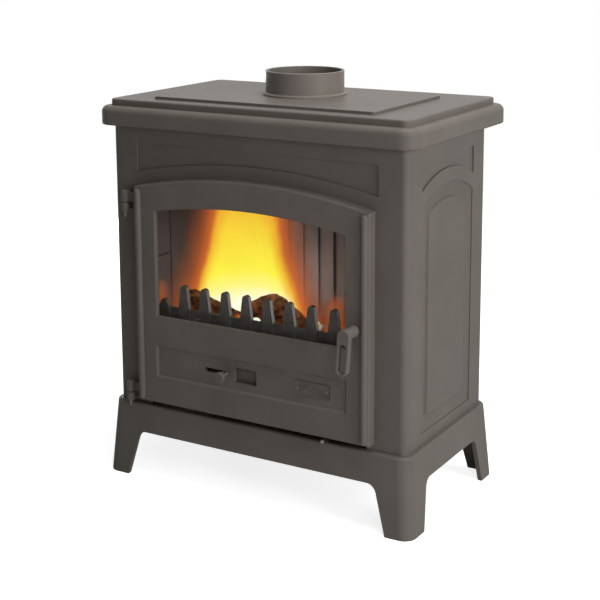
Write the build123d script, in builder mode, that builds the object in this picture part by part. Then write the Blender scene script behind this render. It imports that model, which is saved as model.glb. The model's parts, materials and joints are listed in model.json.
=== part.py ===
from build123d import *

import os
from math import cos, pi, radians, sin, sqrt, tan

os.makedirs("parts", exist_ok=True)

# A cast-iron wood burning stove. Millimetres, X to the right, the door faces -Y, +Z up.
# The origin is on the floor, in the middle of the four feet.

# Body
body_width = 570.0
body_depth = 300.0
body_height = 497.0
body_corner = 11.0
panel_wall = 10.0
back_wall = 8.0
seam_chamfer = 1.2
side_spandrel_width = 200.0
side_spandrel_height = 22.5
side_panel_width = 194.0
side_panel_lift = 20.0
side_arch_radius = 185.0
side_step = 2.0
side_bevel = 22.0
side_bevel_depth = 3.0
side_field_inset = 26.0
side_field_rise = 3.0
side_field_edge = 1.5

# Stand
stand_height = 134.0
stand_ledge = 9.0
stand_corner = 22.0
stand_wall = 8.0
deck_wall = 8.0
leg_flare = 10.5
apron_height = 51.2
front_leg_width = 46.5
side_leg_width = 52.0
front_leg_lean = 15.5
side_leg_lean = 13.0
apron_fillet = 18.0
stand_edge = 4.0

# Top plate
top_side_overhang = 20.0
top_front_overhang = 22.0
top_back_overhang = 51.0
top_slab = 33.0
top_step = 11.5
top_step_inset = 17.0
top_step_corner = 13.0
top_corner = 28.0
top_shoulder = 11.0
top_edge = 3.0
top_deck = 12.0
top_seat = 6.0

# Hob plate and flue collar
hob_width = 428.0
hob_depth = 246.0
hob_y = -3.0
hob_thickness = 5.0
hob_corner = 7.0
hob_seat = 14.0
hob_lip = 6.0
hob_clearance = 0.4
hob_edge = 1.0
collar_bore = 127.0
collar_wall = 4.75
collar_height = 42.0
collar_y = 24.0
collar_bead = 4.0
collar_bead_height = 5.0
collar_ledge = 4.0
collar_ledge_height = 14.0
collar_lug = 18.0
collar_lug_height = 8.0
collar_lug_root = 2.0
collar_lip = 1.0
collar_bolt = 8.0
collar_bolt_head = 13.0
collar_bolt_head_height = 5.5
collar_bolt_inset = 8.5
collar_nut_height = 6.5

# Front frame
frame_depth = 14.0
spandrel_margin = 51.0
spandrel_drop = 28.5
spandrel_recess = 3.0
arch_band = 23.0
opening_inset = 13.0
inlet_inset = 15.0
inlet_height = 13.0

# Door
door_width = 458.0
door_lift = 12.0
door_head = 76.0
door_arch_radius = 1021.0
door_thickness = 19.5
door_gap = 0.5
door_rim = 16.0
door_edge = 4.0
bead_radius = 6.0
bead_inset = 9.0
bead_bottom = 8.0
bead_top = 9.0
rope_inset = 4.0
rope_width = 8.0
rope_groove = 6.0
rope_gap = 0.2
rope_round = 2.0
window_gap = 3.5
window_sill = 157.0
window_drop = 48.0
window_reveal = 10.0
glass_lap = 7.0
glass_clearance = 0.5
glass_thickness = 4.0
gasket_thickness = 1.5
gasket_width = 6.0
clip_x = 110.0
clip_offset = 3.0
clip_corner = 2.0
clip_length = 26.0
clip_width = 18.0
clip_thickness = 2.0
clip_screw = 4.0
clip_screw_head = 8.0
clip_screw_head_height = 1.8
clip_screw_length = 8.0

# Lower door panel
panel_width = 377.0
panel_bottom = 48.0
panel_height = 58.0
panel_recess = 3.0
panel_slope = 4.0
panel_corner = 2.0
control_wall = 8.0
control_rise = 0.5
slot_x = -63.5
slot_length = 51.0
slot_height = 8.0
vent_x = -6.0
vent_width = 44.0
vent_height = 27.0
mark_rise = 0.8
mark_width = 2.0
mark_height = 8.0
mark_lift = 14.0
plate_x = 123.5
plate_width = 66.0
plate_height = 26.0
plate_thickness = 1.5
plate_rivet = 6.0
plate_rivet_rise = 1.8
plate_rivet_round = 1.2
plate_rivet_depth = 4.0
plate_corner = 2.0
plate_rivet_pitch = 53.0

# Air slide
slide_thickness = 3.6
slide_height = 38.0
slide_lap = 7.0
slide_play = 0.4
slide_tail = 12.0
slot_play = 1.0
stem_diameter = 6.0
knob_diameter = 19.0
knob_thickness = 7.0
knob_reach = 25.0
knob_edge = 1.2
rail_height = 14.0
rail_lap = 5.0
rail_screw_inset = 8.0
rail_overrun = 4.0

# Hinges
hinge_offset = 21.0
hinge_setback = 5.0
hinge_drop = 29.6
hinge_foot = 10.0
hinge_gap = 2.0
knuckle_diameter = 14.5
knuckle_round = 4.0
door_knuckle = 19.5
frame_knuckle = 16.5
hinge_foot_width = 8.0
hinge_strap = 4.5
hinge_pin = 5.0
pin_clearance = 0.05
pin_tip = 9.0
pin_collar = 7.0
hinge_play = 0.2
strap_root = 8.0
hinge_stud = 6.0
hinge_nut = 10.0
hinge_nut_height = 5.0
hinge_stud_tail = 1.5

# Handle and latch
spindle_lift = 191.0
spindle_diameter = 10.0
bush_wall = 1.5
bush_flange = 1.0
bush_flange_rim = 3.0
hub_diameter = 19.0
hub_clearance = 0.5
handle_reach = 40.0
lever_thickness = 10.0
lever_width = 21.5
lever_length = 66.0
lever_arm = 4.3
lever_lean = 4.0
lever_edge = 1.2
tongue_thickness = 6.0
tongue_width = 12.0
tongue_cover = 15.0
keeper_thickness = 3.0
keeper_width = 24.0
keeper_height = 44.0
keeper_inset = 3.0
keeper_screw = 4.0
keeper_screw_head = 8.0
keeper_screw_head_height = 2.0
keeper_screw_pitch = 30.0
keeper_screw_depth = 9.0
latch_clearance = 0.4
spindle_nut = 13.0
spindle_nut_height = 5.0

# Firebox
firebed_lift = 106.0
firebed_wall = 10.0
firebed_front = 32.0
firebed_play = 0.6
lip_play = 11.0
lip_reach = 7.0
ledge_width = 20.0
ledge_height = 12.0
grate_bay_width = 300.0
grate_bay_depth = 200.0
grate_bay_front = 13.0
grate_runner = 10.0
grate_runner_height = 3.0
grate_play = 2.0
grate_thickness = 9.0
grate_margin = 14.0
grate_slots = 11
grate_slot_width = 12.0
grate_lift = 0.3
liner_thickness = 24.0
brick_length = 83.0
brick_height = 133.0
joint_width = 4.0
joint_depth = 3.0
smoke_height = 71.0
rib_depth = 5.0
rib_pitch = 32.0
rib_width = 7.0
liner_gap = 2.0
baffle_thickness = 8.0
baffle_depth = 196.0
baffle_inset = 20.0

# Log guard
guard_thickness = 8.0
guard_setback = 9.0
guard_rise = 10.5
prong_proud = 3.0
prong_pitch = 42.5
prong_count = 8
prong_rise = 42.5
end_prong_rise = 14.5
prong_foot = 22.5
prong_tip = 13.0
guard_tab_width = 20.0
guard_tab_clearance = 0.3
guard_tab_x = 150.0

# Riddling gear
riddle_offset = 30.6
riddle_lift = 6.5
riddle_diameter = 8.0
riddle_reach = 26.0
riddle_length = 200.0
riddle_link = 9.0
riddle_neck = 6.0
riddle_tip = 2.5
riddle_travel = 20.0

# Ash pan
pan_clearance = 11.0
pan_depth = 214.0
pan_height = 62.0
pan_wall = 2.0
pan_front = 34.0
pan_corner = 8.0
pan_grip_width = 90.0
pan_grip_reach = 12.0
pan_grip_height = 10.0

# Tie rods
tie_rod = 8.0
tie_inset = 13.0
tie_front = 26.0
tie_back = 22.0
tie_boss = 20.0
tie_boss_height = 26.0
tie_clearance = 0.5
tie_thread = 18.0
tie_nut = 15.0
tie_nut_height = 7.0
tie_tail = 4.0

# Fuel
log_clearance = 0.3
log_gap = 8.0
log_sides = 9
log_round = 0.25
left_log_ends = [(-176.0, 41.0), (-74.0, 27.0)]
split_log_underside = [(-20, 0), (-24, 52), (-44, 54)]
split_log_back = [(-46, 82), (-22, 95), (-4, 101), (8, 100), (22, 91), (44, 71), (64, 50), (86, 0)]
split_log_round = 5.0
split_log_x = 2.0
split_log_setback = 35.0
split_log_turn = 30.8
split_log_length = 85.0
split_log_taper = 0.7

# Heights and planes worked out from the sizes above
body_bottom = stand_height
body_top = body_bottom + body_height
front_y = -body_depth / 2
back_y = body_depth / 2
side_x = body_width / 2
frame_back_y = front_y + frame_depth
panel_inner_x = side_x - panel_wall
slab_top = body_top + top_slab
hob_seat_z = slab_top + top_step
hob_top = hob_seat_z + hob_thickness
door_back_y = front_y - door_gap
door_front_y = door_back_y - door_thickness
door_bottom = body_bottom + door_lift
door_apex = body_top - door_head
arch_centre = door_apex - door_arch_radius
door_spring = arch_centre + sqrt(door_arch_radius**2 - (door_width / 2) ** 2)
opening_x = door_width / 2 - opening_inset
bead_x = door_width / 2 - bead_inset
bead_foot = door_bottom + bead_bottom
bead_length = door_spring - bead_top - bead_foot
hinge_x = -door_width / 2 - hinge_offset
hinge_y = door_front_y + hinge_setback
hinge_axis = Axis((hinge_x, hinge_y, 0), (0, 0, 1))
glass_seat_y = door_front_y + window_reveal
glass_front_y = glass_seat_y + gasket_thickness
web_back_y = glass_front_y + glass_thickness
window_apex = door_apex - window_drop
window_bottom = door_bottom + window_sill
control_height = door_bottom + panel_bottom + panel_height / 2 + control_rise
panel_face_y = door_front_y + panel_recess
control_back_y = panel_face_y + control_wall
spindle_x = bead_x - bead_radius - hub_clearance - hub_diameter / 2
window_x = spindle_x - spindle_diameter / 2 - bush_wall - window_gap - glass_lap
spindle_z = door_bottom + spindle_lift
firebed_bottom = body_bottom + firebed_lift
firebed_top = firebed_bottom + firebed_wall
liner_top = body_top - smoke_height
liner_height = liner_top - firebed_top
top_length = body_depth + top_front_overhang + top_back_overhang
top_y = (top_back_overhang - top_front_overhang) / 2
top_width = body_width + 2 * top_side_overhang
foot_width = body_width + 2 * (stand_ledge + leg_flare)
foot_depth = body_depth + 2 * (stand_ledge + leg_flare)
deck_bottom = stand_height - deck_wall
tie_points = [
    (side * (panel_inner_x - tie_inset), y)
    for side in (-1, 1)
    for y in (front_y + tie_front, back_y - tie_back)
]
hinge_gaps = [door_spring - hinge_drop, door_bottom + hinge_foot]
hinge_stud_points = [(hinge_x, gap_z - (hinge_gap + frame_knuckle) / 2) for gap_z in hinge_gaps]
keeper_x = opening_x + keeper_inset + keeper_width / 2
tongue_reach = opening_x + keeper_inset + tongue_cover - spindle_x
keeper_screw_points = [(keeper_x, spindle_z + side * keeper_screw_pitch / 2) for side in (-1, 1)]
back_inner_y = back_y - back_wall
firebed_front_y = front_y + firebed_front
grate_bay_y = firebed_front_y + grate_bay_front + grate_bay_depth / 2
lip_front_y = front_y + lip_reach
guard_front_y = front_y + guard_setback
guard_y = guard_front_y + guard_thickness / 2
liner_front_y = firebed_front_y
liner_back_y = back_inner_y - liner_thickness - liner_gap
pan_front_y = front_y + pan_front
spandrel_top = body_top - spandrel_drop
side_apex = spandrel_top - side_spandrel_height - arch_band
side_centre = side_apex - side_arch_radius
side_bottom = body_bottom + side_panel_lift


def facing(y):
    """Sketch plane at depth y that faces the front, with X to the right and Z up."""
    return Plane.XZ.offset(-y)


def level(z):
    """Horizontal sketch plane at height z."""
    return Plane.XY.offset(z)


def arched_face(half_width, bottom, apex, centre, mode=Mode.ADD):
    """Face with an upright rectangle's sides and an arched head, struck from a centre on its middle line."""
    spring = centre + sqrt((apex - centre) ** 2 - half_width**2)
    with BuildLine() as outline:
        Polyline((half_width, spring), (half_width, bottom), (-half_width, bottom), (-half_width, spring))
        ThreePointArc((-half_width, spring), (0, apex), (half_width, spring))
    return make_face(outline.edges(), mode=mode)


def spandrel_face(half_width, top, apex, centre):
    """Face with a flat head and an arched foot, struck from a centre on its middle line."""
    spring = centre + sqrt((apex - centre) ** 2 - half_width**2)
    with BuildLine() as outline:
        Polyline((half_width, spring), (half_width, top), (-half_width, top), (-half_width, spring))
        ThreePointArc((-half_width, spring), (0, apex), (half_width, spring))
    return make_face(outline.edges())


def door_outline(inset, mode=Mode.ADD):
    """The door's outline, drawn in by an even inset."""
    return arched_face(door_width / 2 - inset, door_bottom + inset, door_apex - inset, arch_centre, mode)


def window_outline(growth, mode=Mode.ADD):
    """The window's outline, grown by an even margin."""
    half_width = window_x + growth
    return arched_face(half_width, window_bottom - growth, window_apex + growth, arch_centre, mode)


def side_arch(inset):
    """The side panel's arched field, drawn in by an even inset."""
    return arched_face(side_panel_width / 2 - inset, side_bottom + inset, side_apex - inset, side_centre)


def prong(x, foot, rise):
    """A tapered guard prong with a rounded tip, which runs down from the foot's height as a rib."""
    tip = prong_tip / 2
    with BuildLine() as outline:
        Polyline(
            (x - tip, foot + rise - tip),
            (x - prong_foot / 2, foot),
            (x - prong_foot / 2, firebed_top),
            (x + prong_foot / 2, firebed_top),
            (x + prong_foot / 2, foot),
            (x + tip, foot + rise - tip),
        )
        ThreePointArc((x + tip, foot + rise - tip), (x, foot + rise), (x - tip, foot + rise - tip))
    return make_face(outline.edges())


def export(piece, name):
    """Names a finished piece and writes it."""
    piece.part.label = name
    export_step(piece.part, f"parts/{name}.step")


# Stand: one flared casting with a flat deck, four angle-section legs and arched aprons
with BuildPart() as base_stand:
    with BuildSketch():
        RectangleRounded(foot_width, foot_depth, stand_corner)
    with BuildSketch(level(stand_height)):
        RectangleRounded(body_width + 2 * stand_ledge, body_depth + 2 * stand_ledge, stand_corner)
    loft()
    fillet(base_stand.faces().sort_by(Axis.Z)[-1].edges(), stand_edge)
    inner_corner = stand_corner - stand_wall
    deck_width = body_width + 2 * (stand_ledge + leg_flare * deck_wall / stand_height - stand_wall)
    deck_depth = body_depth + 2 * (stand_ledge + leg_flare * deck_wall / stand_height - stand_wall)
    with BuildSketch():
        RectangleRounded(foot_width - 2 * stand_wall, foot_depth - 2 * stand_wall, inner_corner)
    with BuildSketch(level(deck_bottom)):
        RectangleRounded(deck_width, deck_depth, inner_corner)
    loft(mode=Mode.SUBTRACT)
    apron_bottom = stand_height - apron_height
    for arch_plane, foot_span, leg_width, lean in (
        (Plane.XZ, foot_width, front_leg_width, front_leg_lean),
        (Plane.YZ, foot_depth, side_leg_width, side_leg_lean),
    ):
        foot_half = foot_span / 2 - leg_width
        head_half = foot_half - apron_bottom * tan(radians(lean))
        with BuildSketch(arch_plane) as leg_arch:
            with BuildLine():
                Polyline(
                    (-foot_half, 0),
                    (-head_half, apron_bottom),
                    (head_half, apron_bottom),
                    (foot_half, 0),
                    close=True,
                )
            make_face()
            fillet(leg_arch.vertices().group_by(Axis.Y)[-1], apron_fillet)
        extrude(amount=foot_width, both=True, mode=Mode.SUBTRACT)
    with BuildSketch(level(stand_height)):
        with Locations(*tie_points):
            Circle(tie_rod / 2 + tie_clearance)
    extrude(amount=-deck_wall, mode=Mode.SUBTRACT)
export(base_stand, "base_stand")

# Front frame: rounded corner posts, arched door opening, spandrel recess and air inlet under the door
with BuildPart() as front_frame:
    with BuildSketch(level(body_bottom)) as frame_plan:
        with Locations((0, front_y + frame_depth / 2)):
            Rectangle(body_width, frame_depth)
        fillet(frame_plan.vertices().group_by(Axis.Y)[0], body_corner)
        chamfer(frame_plan.vertices().group_by(Axis.Y)[-1], seam_chamfer)
    extrude(amount=body_height)
    with BuildSketch(facing(front_y)):
        door_outline(opening_inset)
    extrude(amount=-frame_depth, mode=Mode.SUBTRACT)
    with BuildSketch(facing(front_y)):
        spandrel_face(side_x - spandrel_margin, spandrel_top, door_apex + arch_band, arch_centre)
    extrude(amount=-spandrel_recess, mode=Mode.SUBTRACT)
    with BuildSketch(facing(front_y)):
        with Locations((0, body_bottom + inlet_height / 2)):
            Rectangle(door_width - 2 * inlet_inset, inlet_height)
    extrude(amount=-frame_depth, mode=Mode.SUBTRACT)
    with BuildSketch(facing(front_y)):
        with Locations(*hinge_stud_points):
            Circle(hinge_stud / 2 + pin_clearance)
    extrude(amount=-frame_depth, mode=Mode.SUBTRACT)
    with BuildSketch(facing(frame_back_y)):
        with Locations(*keeper_screw_points):
            Circle(keeper_screw / 2 + pin_clearance)
    extrude(amount=keeper_screw_depth, mode=Mode.SUBTRACT)
export(front_frame, "front_frame")

# Right side panel: a raised field in an arched recess, a spandrel recess, and a ledge inside for the firebed
with BuildPart() as right_side_panel:
    with BuildSketch(level(body_bottom)) as panel_plan:
        with Locations(((panel_inner_x + side_x) / 2, (frame_back_y + back_y) / 2)):
            Rectangle(panel_wall, back_y - frame_back_y)
        outer_corners = panel_plan.vertices().group_by(Axis.X)[-1].sort_by(Axis.Y)
        fillet(outer_corners[-1], body_corner - seam_chamfer)
        chamfer(panel_plan.vertices().group_by(Axis.X)[-1].sort_by(Axis.Y)[0], seam_chamfer)
    extrude(amount=body_height)
    side_face = Plane.YZ.offset(side_x)
    with BuildSketch(side_face):
        spandrel_face(side_spandrel_width / 2, spandrel_top, side_apex + arch_band, side_centre)
    extrude(amount=-spandrel_recess, mode=Mode.SUBTRACT)
    with BuildSketch(side_face):
        side_arch(0)
    extrude(amount=-side_step, mode=Mode.SUBTRACT)
    with BuildSketch(side_face.offset(-side_step)):
        side_arch(0)
    field_floor = side_face.offset(-side_step - side_bevel_depth)
    with BuildSketch(field_floor):
        side_arch(side_bevel)
    loft(ruled=True, mode=Mode.SUBTRACT)
    with BuildSketch(field_floor):
        side_arch(side_field_inset)
    with BuildSketch(field_floor.offset(side_field_rise)):
        side_arch(side_field_inset + side_field_edge)
    loft(ruled=True)
    with BuildSketch(level(firebed_bottom)):
        with Locations((panel_inner_x - ledge_width / 2, (firebed_front_y + back_inner_y) / 2)):
            Rectangle(ledge_width, back_inner_y - firebed_front_y)
    extrude(amount=-ledge_height)
    with BuildSketch(level(firebed_bottom)):
        with Locations(*tie_points):
            Circle(tie_rod / 2 + tie_clearance)
    extrude(amount=-ledge_height, mode=Mode.SUBTRACT)
export(right_side_panel, "right_side_panel")

with BuildPart() as left_side_panel:
    mirror(right_side_panel.part, about=Plane.YZ)
export(left_side_panel, "left_side_panel")

# Back panel, between the side panels
with BuildPart() as back_panel:
    with BuildSketch(level(body_bottom)):
        with Locations((0, back_y - back_wall / 2)):
            Rectangle(2 * panel_inner_x, back_wall)
    extrude(amount=body_height)
export(back_panel, "back_panel")

# Top plate: two-step moulded slab, hollow underneath, with an opening under the hob plate
with BuildPart() as top_plate:
    with BuildSketch(level(body_top)):
        with Locations((0, top_y)):
            RectangleRounded(top_width, top_length, top_corner)
    extrude(amount=top_slab)
    fillet(top_plate.faces().sort_by(Axis.Z)[-1].edges(), top_shoulder)
    step_width = top_width - 2 * top_step_inset
    step_length = top_length - 2 * top_step_inset
    with BuildSketch(level(slab_top)):
        with Locations((0, top_y)):
            RectangleRounded(step_width, step_length, top_step_corner)
    extrude(amount=top_step)
    fillet(top_plate.faces().sort_by(Axis.Z)[-1].edges(), top_edge)
    fillet(top_plate.faces().sort_by(Axis.Z)[0].edges(), top_edge)
    pocket_front_y = frame_back_y + top_seat
    pocket_back_y = back_inner_y - top_seat
    pocket_top = hob_seat_z - top_deck
    with BuildSketch(level(body_top)):
        with Locations((0, (pocket_front_y + pocket_back_y) / 2)):
            Rectangle(2 * (panel_inner_x - top_seat), pocket_back_y - pocket_front_y)
    extrude(amount=pocket_top - body_top, mode=Mode.SUBTRACT)
    with BuildSketch(level(pocket_top)):
        with Locations(*tie_points):
            Circle(tie_boss / 2)
    extrude(amount=-tie_boss_height)
    with BuildSketch(level(pocket_top - tie_boss_height)):
        with Locations(*tie_points):
            Circle(tie_rod / 2 + pin_clearance)
    extrude(amount=tie_thread, mode=Mode.SUBTRACT)
    with BuildSketch(level(hob_seat_z)):
        with Locations((0, hob_y)):
            RectangleRounded(hob_width - 2 * hob_seat, hob_depth - 2 * hob_seat, hob_corner)
    extrude(amount=-top_deck, mode=Mode.SUBTRACT)
export(top_plate, "top_plate")

# Hob plate: lifts out of the top plate's opening and carries the flue collar
ledge_radius = collar_bore / 2 - collar_ledge
bolt_circle = ledge_radius - collar_bolt_inset
with BuildPart() as hob_plate:
    with BuildSketch(level(hob_seat_z)):
        with Locations((0, hob_y)):
            RectangleRounded(hob_width, hob_depth, hob_corner)
    extrude(amount=hob_thickness)
    fillet(hob_plate.faces().sort_by(Axis.Z)[-1].edges(), hob_edge)
    lip_width_out = hob_width - 2 * (hob_seat + hob_clearance)
    lip_depth_out = hob_depth - 2 * (hob_seat + hob_clearance)
    with BuildSketch(level(hob_seat_z)):
        with Locations((0, hob_y)):
            RectangleRounded(lip_width_out, lip_depth_out, hob_corner)
            Rectangle(lip_width_out - 2 * hob_lip, lip_depth_out - 2 * hob_lip, mode=Mode.SUBTRACT)
    extrude(amount=-hob_lip)
    with BuildSketch(level(hob_seat_z)):
        with Locations((0, collar_y)):
            Circle(ledge_radius)
            with PolarLocations(bolt_circle, 3, start_angle=90):
                Rectangle(2 * collar_bolt_inset, collar_lug, mode=Mode.SUBTRACT)
    extrude(amount=hob_thickness, mode=Mode.SUBTRACT)
    with BuildSketch(level(hob_seat_z)):
        with Locations((0, collar_y)):
            with PolarLocations(bolt_circle, 3, start_angle=90):
                Circle(collar_bolt / 2 + pin_clearance)
    extrude(amount=hob_thickness, mode=Mode.SUBTRACT)
export(hob_plate, "hob_plate")

# Flue collar: a socket for the flue pipe with a coned foot, held by three lugs inside
with BuildPart() as flue_collar:
    bore_radius = collar_bore / 2
    wall_radius = bore_radius + collar_wall
    with BuildSketch(facing(collar_y)):
        with BuildLine():
            Polyline(
                (bore_radius, hob_top + collar_ledge_height),
                (ledge_radius, hob_top + collar_ledge_height),
                (ledge_radius, hob_top),
                (wall_radius + collar_bead, hob_top),
                (wall_radius + collar_bead, hob_top + collar_bead_height / 2),
                (wall_radius, hob_top + collar_bead_height),
                (wall_radius, hob_top + collar_height),
                (bore_radius, hob_top + collar_height),
                close=True,
            )
        make_face()
    revolve(axis=Axis((0, collar_y, 0), (0, 0, 1)))
    fillet(flue_collar.faces().sort_by(Axis.Z)[-1].edges(), collar_lip)
    with BuildSketch(level(hob_top)):
        with Locations((0, collar_y)):
            with PolarLocations(bolt_circle + collar_lug_root / 2, 3, start_angle=90):
                Rectangle(2 * collar_bolt_inset + collar_lug_root, collar_lug)
    extrude(amount=collar_lug_height)
    with BuildSketch(level(hob_top)):
        with Locations((0, collar_y)):
            with PolarLocations(bolt_circle, 3, start_angle=90):
                Circle(collar_bolt / 2 + pin_clearance)
    extrude(amount=collar_lug_height, mode=Mode.SUBTRACT)
export(flue_collar, "flue_collar")

with BuildPart() as collar_bolts:
    with BuildSketch(level(hob_top + collar_lug_height)):
        with Locations((0, collar_y)):
            with PolarLocations(bolt_circle, 3, start_angle=90):
                RegularPolygon(collar_bolt_head / 2, 6, major_radius=False)
    extrude(amount=collar_bolt_head_height)
    with BuildSketch(level(hob_top + collar_lug_height)):
        with Locations((0, collar_y)):
            with PolarLocations(bolt_circle, 3, start_angle=90):
                Circle(collar_bolt / 2)
    extrude(amount=-(collar_lug_height + hob_thickness + collar_nut_height))
export(collar_bolts, "collar_bolts")

with BuildPart() as collar_nuts:
    with BuildSketch(level(hob_seat_z)):
        with Locations((0, collar_y)):
            with PolarLocations(bolt_circle, 3, start_angle=90):
                RegularPolygon(collar_bolt_head / 2, 6, major_radius=False)
                Circle(collar_bolt / 2 + pin_clearance, mode=Mode.SUBTRACT)
    extrude(amount=-collar_nut_height)
export(collar_nuts, "collar_nuts")

# Firebed plate: rests on the side panels' ledges and holds the grate, the liners and the log guard
with BuildPart() as firebed_plate:
    with BuildSketch(level(firebed_bottom)):
        with Locations((0, (firebed_front_y + back_inner_y) / 2)):
            Rectangle(2 * panel_inner_x - firebed_play, back_inner_y - firebed_front_y - firebed_play)
        with Locations((0, (lip_front_y + firebed_front_y + firebed_play) / 2)):
            Rectangle(2 * (opening_x - lip_play), firebed_front_y + firebed_play - lip_front_y)
        with Locations((0, grate_bay_y)):
            Rectangle(grate_bay_width, grate_bay_depth, mode=Mode.SUBTRACT)
        with Locations(*tie_points):
            Circle(tie_rod / 2 + tie_clearance, mode=Mode.SUBTRACT)
        with Locations((-guard_tab_x, guard_y), (guard_tab_x, guard_y)):
            Rectangle(
                guard_tab_width + 2 * guard_tab_clearance,
                guard_thickness + 2 * guard_tab_clearance,
                mode=Mode.SUBTRACT,
            )
    extrude(amount=firebed_wall)
    runner_x = (grate_bay_width - grate_runner) / 2
    with BuildSketch(level(firebed_bottom)):
        with Locations((-runner_x, grate_bay_y), (runner_x, grate_bay_y)):
            Rectangle(grate_runner, grate_bay_depth)
    extrude(amount=grate_runner_height)
export(firebed_plate, "firebed_plate")

# Log guard: a comb of tapered prongs, proud of their rail, that stands in the firebed plate's front lip
with BuildPart() as log_guard:
    rail_top = window_bottom + guard_rise
    guard_rail = rail_top - firebed_top
    end_x = (prong_count + 1) / 2 * prong_pitch
    with BuildSketch(facing(guard_front_y + prong_proud)):
        with Locations((0, firebed_top + guard_rail / 2)):
            Rectangle(2 * end_x + prong_foot, guard_rail)
    extrude(amount=prong_proud - guard_thickness)
    with BuildSketch(facing(guard_front_y)):
        for index in range(prong_count):
            prong((index - (prong_count - 1) / 2) * prong_pitch, rail_top, prong_rise)
        for end in (-end_x, end_x):
            prong(end, rail_top, end_prong_rise)
        with Locations(*[(side * guard_tab_x, firebed_top - firebed_wall / 2) for side in (-1, 1)]):
            Rectangle(guard_tab_width, firebed_wall)
    extrude(amount=-guard_thickness)
export(log_guard, "log_guard")

# Firebox liners: sides with moulded brick joints, and a back that is ribbed on the fire side
with BuildPart() as right_liner:
    liner_face_x = panel_inner_x - liner_thickness
    brick_end_y = liner_front_y + brick_length
    with BuildSketch(level(firebed_top)):
        with Locations((panel_inner_x - liner_thickness / 2, (liner_front_y + liner_back_y) / 2)):
            Rectangle(liner_thickness, liner_back_y - liner_front_y)
    extrude(amount=liner_height)
    with Locations((liner_face_x, brick_end_y, firebed_top + liner_height / 2)):
        Box(2 * joint_depth, joint_width, liner_height, mode=Mode.SUBTRACT)
    with Locations((liner_face_x, brick_end_y - brick_length / 2, firebed_top + brick_height)):
        Box(2 * joint_depth, brick_length, joint_width, mode=Mode.SUBTRACT)
export(right_liner, "right_liner")

with BuildPart() as left_liner:
    mirror(right_liner.part, about=Plane.YZ)
export(left_liner, "left_liner")

liner_web = liner_thickness - rib_depth
with BuildPart() as back_liner:
    back_liner_width = 2 * (panel_inner_x - liner_thickness - liner_gap)
    with BuildSketch(level(firebed_top)):
        with Locations((0, back_inner_y - liner_web / 2)):
            Rectangle(back_liner_width, liner_web)
        with Locations((0, back_inner_y - liner_web - rib_depth / 2)):
            with GridLocations(rib_pitch, rib_pitch, int(back_liner_width / rib_pitch), 1):
                Rectangle(rib_width, rib_depth)
    extrude(amount=liner_height)
export(back_liner, "back_liner")

# Baffle: a loose plate on top of the liners that sends the smoke forward
with BuildPart() as baffle_plate:
    with BuildSketch(level(liner_top)):
        with Locations((0, back_inner_y - baffle_depth / 2 - liner_gap)):
            Rectangle(2 * (panel_inner_x - baffle_inset), baffle_depth)
    extrude(amount=baffle_thickness)
export(baffle_plate, "baffle_plate")

# Riddling grate: slides on the firebed plate's runners
grate_bottom = firebed_bottom + grate_runner_height + grate_lift
grate_top = grate_bottom + grate_thickness
grate_width = grate_bay_width - 2 * grate_play
grate_depth = grate_bay_depth - riddle_travel - 2 * grate_play
grate_y = grate_bay_y + (grate_bay_depth - grate_depth) / 2 - grate_play
grate_pitch = (grate_width - grate_margin) / grate_slots
grate_slot_length = grate_depth - 2 * grate_margin
with BuildPart() as riddling_grate:
    with BuildSketch(level(grate_bottom)):
        with Locations((0, grate_y)):
            Rectangle(grate_width, grate_depth)
            with GridLocations(grate_pitch, 0, grate_slots, 1):
                SlotOverall(grate_slot_length, grate_slot_width, rotation=90, mode=Mode.SUBTRACT)
    extrude(amount=grate_thickness)
export(riddling_grate, "riddling_grate")

# Riddling rod: its end shows under the door, and a link joins it to the grate
riddle_z = body_bottom + riddle_lift
riddle_front_y = front_y - riddle_reach
riddle_back_y = riddle_front_y + riddle_length
riddle_link_x = (grate_slots / 2 - 1) * grate_pitch
riddle_x = riddle_link_x + riddle_offset
with BuildPart() as riddling_link:
    with BuildSketch(facing(riddle_back_y)):
        with BuildLine():
            Polyline(
                (riddle_link_x - riddle_link / 2, riddle_z - riddle_link / 2),
                (riddle_x + riddle_link, riddle_z - riddle_link / 2),
                (riddle_x + riddle_link, riddle_z + riddle_link),
                (riddle_link_x + riddle_link / 2, riddle_z + riddle_link),
                (riddle_link_x + riddle_link / 2, grate_bottom),
                (riddle_link_x - riddle_link / 2, grate_bottom),
                close=True,
            )
        make_face()
    extrude(amount=riddle_link)
    with BuildSketch(facing(riddle_back_y)):
        with Locations((riddle_x, riddle_z)):
            Circle(riddle_neck / 2 + pin_clearance)
    extrude(amount=riddle_link, mode=Mode.SUBTRACT)
export(riddling_link, "riddling_link")

with BuildPart() as riddling_rod:
    with BuildSketch(facing(riddle_back_y - riddle_link)):
        with Locations((riddle_x, riddle_z)):
            Circle(riddle_diameter / 2)
    extrude(amount=riddle_length - riddle_link)
    fillet(riddling_rod.faces().sort_by(Axis.Y)[0].edges(), riddle_tip)
    with BuildSketch(facing(riddle_back_y)):
        with Locations((riddle_x, riddle_z)):
            Circle(riddle_neck / 2)
    extrude(amount=riddle_link)
export(riddling_rod, "riddling_rod")

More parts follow.
